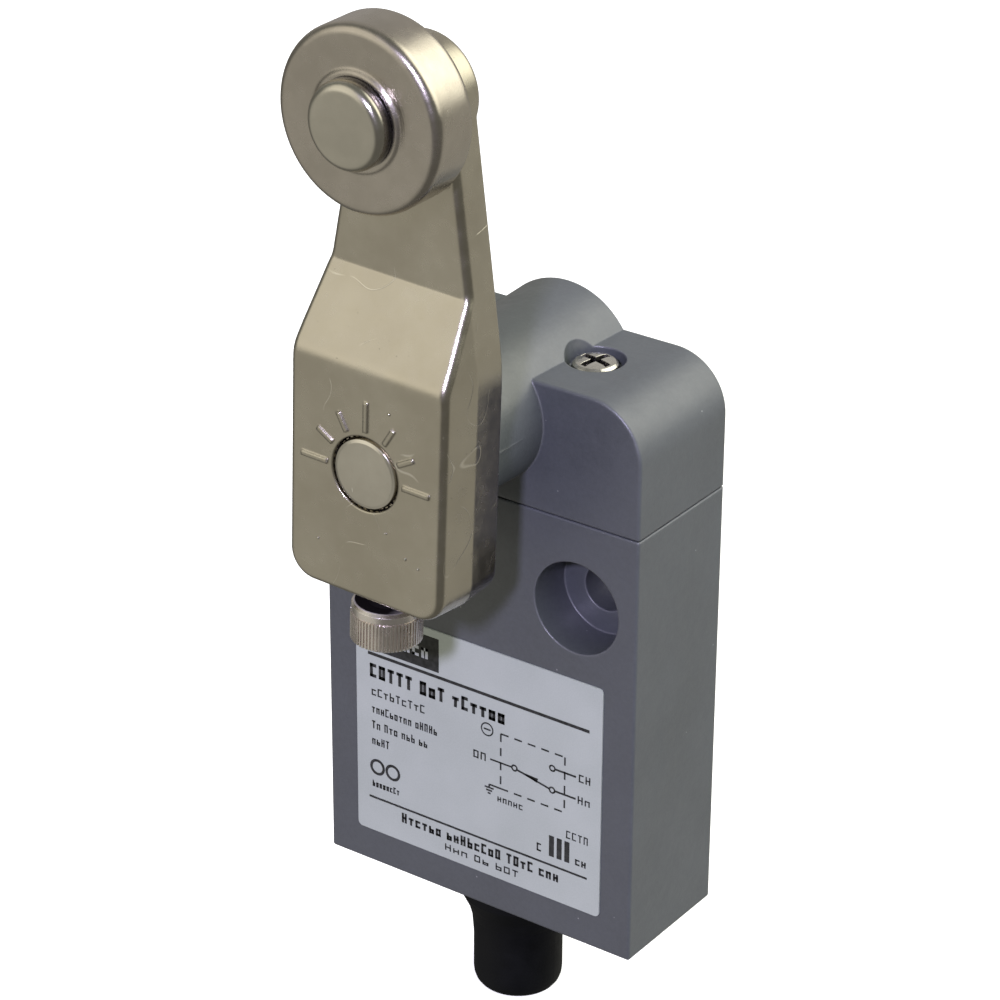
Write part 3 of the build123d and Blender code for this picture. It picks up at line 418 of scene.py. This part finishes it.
OWN_LOOKS = {
    "clamp_screw": clamp_screw_metal(),
    "head_screws": head_screw_metal(),
    "roller_pin": pin_metal(),
}


def dress_cad_nodes():
    """Gives every CAD node the look of its material slot, or its own variant of it."""
    for part in frame["record"]["subparts"]:
        mesh = frame["nodes"][part["node"]].data
        material = OWN_LOOKS.get(part["node"], LOOKS[part["material_slot"]])
        if mesh.materials:
            for index in range(len(mesh.materials)):
                mesh.materials[index] = material
        else:
            mesh.materials.append(material)


# ---------------------------------------------------------------- label print


class Print:
    """Flat shapes in ink on the front of the nameplate; sizes in mm."""

    def __init__(self, name, layer=0):
        self.name = name
        self.shape = bmesh.new()
        self.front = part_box("nameplate")[0].y - layer * INK_THICKNESS * MM

    def polygon(self, points):
        base = [self.shape.verts.new((x * MM, self.front, z * MM)) for x, z in points]
        face = self.shape.faces.new(base)
        raised = bmesh.ops.extrude_face_region(self.shape, geom=[face])["geom"]
        verts = [v for v in raised if isinstance(v, bmesh.types.BMVert)]
        bmesh.ops.translate(self.shape, verts=verts, vec=(0, -INK_THICKNESS * MM, 0))

    def bar(self, x0, x1, z0, z1):
        self.polygon([(x0, z0), (x1, z0), (x1, z1), (x0, z1)])

    def stroke(self, start, end, width):
        along = Vector(end) - Vector(start)
        side = Vector((-along.y, along.x)).normalized() * width / 2
        a, b = Vector(start), Vector(end)
        self.polygon([a - side, b - side, b + side, a + side])

    def ring(self, centre, radius, width, steps=28):
        turn = 2 * math.pi / steps
        for i in range(steps):
            corners = [(i, radius - width / 2), (i, radius + width / 2),
                       (i + 1, radius + width / 2), (i + 1, radius - width / 2)]
            self.polygon([(centre[0] + r * math.cos(k * turn), centre[1] + r * math.sin(k * turn))
                          for k, r in corners])

    def dashes(self, start, end, dash, gap, width):
        a, b = Vector(start), Vector(end)
        length = (b - a).length
        along = (b - a) / length
        at = 0.0
        while at < length:
            self.stroke(a + along * at, a + along * min(at + dash, length), width)
            at += dash + gap

    def words(self, lengths, left, right, middle, height, stroke):
        """A line of stand-in words made of plain strokes."""
        pitch = (right - left) / (sum(lengths) + 0.6 * (len(lengths) - 1))
        wide = 0.72 * pitch - stroke
        low = middle - height / 2
        at = left
        for length in lengths:
            for _ in range(length):
                tall = height if LETTERS.random() < 0.4 else 0.74 * height
                for x0, z0, x1, z1 in LETTERS.choice(GLYPHS):
                    x = sorted((at + x0 * wide, at + x1 * wide))
                    z = sorted((low + z0 * (tall - stroke), low + z1 * (tall - stroke)))
                    self.bar(x[0], x[1] + stroke, z[0], z[1] + stroke)
                at += pitch
            at += 0.6 * pitch

    def done(self, material):
        bmesh.ops.recalc_face_normals(self.shape, faces=self.shape.faces)
        mesh = bpy.data.meshes.new(self.name)
        self.shape.to_mesh(mesh)
        self.shape.free()
        mesh.materials.append(material)
        piece = bpy.data.objects.new(self.name, mesh)
        bpy.context.scene.collection.objects.link(piece)
        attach(piece, "housing")
        return piece


LETTERS = random.Random(7)


def print_label():
    """Rules, a dark block, lines of stand-in words, two generic marks and the switch's circuit."""
    dark = Print("label_print")
    for middle, half in ((UPPER_RULE_Z, UPPER_RULE_HALF_H), (LOWER_RULE_Z, LOWER_RULE_HALF_H)):
        dark.bar(-RULE_HALF_W, RULE_HALF_W, middle - half, middle + half)
    dark.bar(*BLOCK)
    for line in DARK_LINES:
        dark.words(*line)
    for centre in MARK_RING_CENTRES:
        dark.ring(centre, MARK_RING_R, MARK_RING_W)
    for x in MARK_BAR_LEFTS:
        dark.bar(x, x + MARK_BAR_W, MARK_BAR_BOTTOM, MARK_BAR_TOP)
    print_circuit(dark)
    dark.done(ink("label_ink", (0.016, 0.017, 0.015), (0.035, 0.036, 0.033)))
    light = Print("label_block_print", 1)
    light.words(*BLOCK_LINE)
    light.done(ink("label_light_ink", (0.42, 0.44, 0.46), (0.5, 0.52, 0.54)))


def print_circuit(dark):
    """Change-over switch in a dashed outline, an earth sign and a ringed sign."""
    thin = 0.21
    left, right, top, bottom = 3.2, 11.5, -18.1, -24.9
    for start, end in (((left, top), (right, top)), ((right, top), (right, bottom)),
                       ((left, bottom), (right, bottom)), ((left, top), (left, bottom))):
        dark.dashes(start, end, 1.0, 0.75, thin)
    pole, upper, lower = (5.0, -21.7), (9.9, -20.0), (9.9, -22.7)
    eye = 0.33
    for centre in (pole, upper, lower):
        dark.ring(centre, eye, 0.2)
    dark.stroke((1.8, -21.7), (pole[0] - eye, pole[1]), thin)
    for centre in (upper, lower):
        dark.stroke((centre[0] + eye, centre[1]), (12.95, centre[1]), 0.24)
    dark.stroke((pole[0] + eye, pole[1] - 0.1), (lower[0] - eye, lower[1] + 0.05), 0.24)
    dark.polygon([(5.9, -21.85), (8.1, -21.95), (7.9, -22.5)])
    earth = (1.7, -25.3)
    dark.stroke((left, bottom), (earth[0], bottom), thin)
    dark.stroke((earth[0], bottom), earth, thin)
    for drop, half in ((0.0, 0.6), (0.35, 0.4), (0.7, 0.2)):
        dark.stroke((earth[0] - half, earth[1] - drop), (earth[0] + half, earth[1] - drop), thin)
    sign = (1.4, -18.15)
    dark.ring(sign, 0.75, 0.17)
    dark.stroke((sign[0] - 0.45, sign[1]), (sign[0] + 0.45, sign[1]), 0.2)


# ---------------------------------------------------------------- casting pips on the lever


def on_lever(x, y, h):
    """Point in metres from the lever's own frame in mm."""
    sine, cosine = math.sin(LEVER_LEAN), math.cos(LEVER_LEAN)
    return SHAFT_AXIS + MM * Vector((x * cosine + h * sine, y, h * cosine - x * sine))


def make_casting_pips():
    """A few pips left by the casting on the hub's face."""
    shape = bmesh.new()
    for x, h, radius in PIPS:
        pip = bmesh.ops.create_icosphere(shape, subdivisions=2, radius=radius * MM)["verts"]
        for vert in pip:
            vert.co.y *= PIP_HEIGHT / radius
            vert.co += on_lever(x, HUB_FACE_Y, h)
    bmesh.ops.recalc_face_normals(shape, faces=shape.faces)
    mesh = bpy.data.meshes.new("casting_pips")
    shape.to_mesh(mesh)
    shape.free()
    for face in mesh.polygons:
        face.use_smooth = True
    mesh.materials.append(LOOKS["bright_steel"])
    pips = bpy.data.objects.new("casting_pips", mesh)
    bpy.context.scene.collection.objects.link(pips)
    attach(pips, "lever")


# ---------------------------------------------------------------- light, floor and camera


def aim(obj, towards):
    obj.rotation_mode = "QUATERNION"
    obj.rotation_quaternion = (towards - obj.location).to_track_quat("-Z", "Y")


def heading(azimuth, elevation):
    """Unit direction; azimuth 0 is straight in front of the switch."""
    a, e = math.radians(azimuth), math.radians(elevation)
    return Vector((math.sin(a) * math.cos(e), -math.cos(a) * math.cos(e), math.sin(e)))


def spot_on_sphere(azimuth, elevation, distance):
    """Point at a distance from the view's target, in a direction."""
    return VIEW_TARGET + distance * heading(azimuth, elevation)


def softbox(name, azimuth, elevation, distance, width, height, watts, colour):
    light = bpy.data.lights.new(name, "AREA")
    light.shape = "RECTANGLE"
    light.size, light.size_y = width, height
    light.energy = watts
    light.color = colour
    obj = bpy.data.objects.new(name, light)
    bpy.context.scene.collection.objects.link(obj)
    obj.location = spot_on_sphere(azimuth, elevation, distance)
    aim(obj, VIEW_TARGET)
    return obj


def make_lights():
    """Small cool key light in front; two large soft lights that don't show in reflections."""
    softbox("key", 22, 30, 1.4, 0.10, 0.10, 23.7, (0.71, 0.66, 1.0))
    overhead = softbox("overhead", 95, 66, 1.0, 1.3, 1.3, 12.0, (0.93, 0.97, 0.90))
    side = softbox("side", 92, 14, 1.2, 1.1, 1.1, 8.0, (0.93, 0.97, 0.90))
    for light in (overhead, side):
        light.visible_glossy = False


def glow(nodes, links, direction, azimuth, elevation, inner, outer):
    """1 within the inner angle of a direction, falling smoothly to 0 at the outer angle."""
    dot = nodes.new("ShaderNodeVectorMath")
    dot.operation = "DOT_PRODUCT"
    links.new(direction, dot.inputs[0])
    dot.inputs[1].default_value = heading(azimuth, elevation)
    fall = nodes.new("ShaderNodeMapRange")
    fall.interpolation_type = "SMOOTHSTEP"
    fall.inputs["From Min"].default_value = math.cos(math.radians(outer))
    fall.inputs["From Max"].default_value = math.cos(math.radians(inner))
    links.new(dot.outputs["Value"], fall.inputs["Value"])
    return fall.outputs["Result"]


def make_world():
    """Studio room, dim below and pale above, with soft bright areas; the camera sees an even backdrop."""
    world = bpy.data.worlds.new("studio")
    world.use_nodes = True
    nodes, links = world.node_tree.nodes, world.node_tree.links
    backdrop = nodes["Background"]
    backdrop.inputs["Color"].default_value = (0.93, 0.93, 0.93, 1)
    direction = nodes.new("ShaderNodeTexCoord").outputs["Generated"]
    light = glow(nodes, links, direction, 0, 90, 60, 110)
    upper = nodes.new("ShaderNodeMix")
    upper.data_type = "RGBA"
    links.new(light, upper.inputs["Factor"])
    upper.inputs["A"].default_value = ROOM_BELOW
    upper.inputs["B"].default_value = ROOM_ABOVE
    total = upper.outputs["Result"]
    for azimuth, elevation, inner, outer, colour in ROOM_GLOWS:
        share = glow(nodes, links, direction, azimuth, elevation, inner, outer)
        scaled = nodes.new("ShaderNodeVectorMath")
        scaled.operation = "SCALE"
        scaled.inputs[0].default_value = colour
        links.new(share, scaled.inputs["Scale"])
        added = nodes.new("ShaderNodeVectorMath")
        links.new(total, added.inputs[0])
        links.new(scaled.outputs["Vector"], added.inputs[1])
        total = added.outputs["Vector"]
    room = nodes.new("ShaderNodeBackground")
    links.new(total, room.inputs["Color"])
    seen = nodes.new("ShaderNodeLightPath").outputs["Is Camera Ray"]
    blend = nodes.new("ShaderNodeMixShader")
    links.new(seen, blend.inputs["Fac"])
    links.new(room.outputs["Background"], blend.inputs[1])
    links.new(backdrop.outputs["Background"], blend.inputs[2])
    links.new(blend.outputs["Shader"], nodes["World Output"].inputs["Surface"])
    bpy.context.scene.world = world


def make_floor():
    """Plain pale floor under the cable boot, pale enough that shadows on it stay faint."""
    level = cad_box[0].z - 0.0002
    half = 6.0
    mesh = bpy.data.meshes.new("floor")
    corners = [(x, y, level) for x, y in ((-half, -half), (half, -half), (half, half), (-half, half))]
    mesh.from_pydata(corners, [], [(0, 1, 2, 3)])
    floor = bpy.data.objects.new("floor", mesh)
    bpy.context.scene.collection.objects.link(floor)
    look = Look("floor_paper")
    base = look.mix(look.span(look.noise(8, 3), 0.3, 0.7), (0.50, 0.50, 0.50), (0.52, 0.52, 0.52))
    look.set(Base_Color=base, Roughness=0.9, Normal=look.bump(look.noise(900, 2), 0.00001),
             Emission_Color=base, Emission_Strength=1.4)
    mesh.materials.append(look.material)
    floor.visible_glossy = False
    floor.visible_diffuse = False


def make_camera():
    data = bpy.data.cameras.new("camera")
    data.lens = LENS
    data.sensor_width = 36
    data.clip_start, data.clip_end = 0.01, 30
    camera = bpy.data.objects.new("camera", data)
    bpy.context.scene.collection.objects.link(camera)
    camera.location = spot_on_sphere(VIEW_AZIMUTH, VIEW_ELEVATION, VIEW_DISTANCE)
    aim(camera, VIEW_TARGET)
    camera.rotation_quaternion = camera.rotation_quaternion @ Matrix.Rotation(
        math.radians(VIEW_ROLL), 4, "Z").to_quaternion()
    bpy.context.scene.camera = camera


dress_cad_nodes()
print_label()
make_casting_pips()
make_lights()
make_world()
make_floor()
make_camera()
bpy.context.scene.view_settings.view_transform = "Standard"
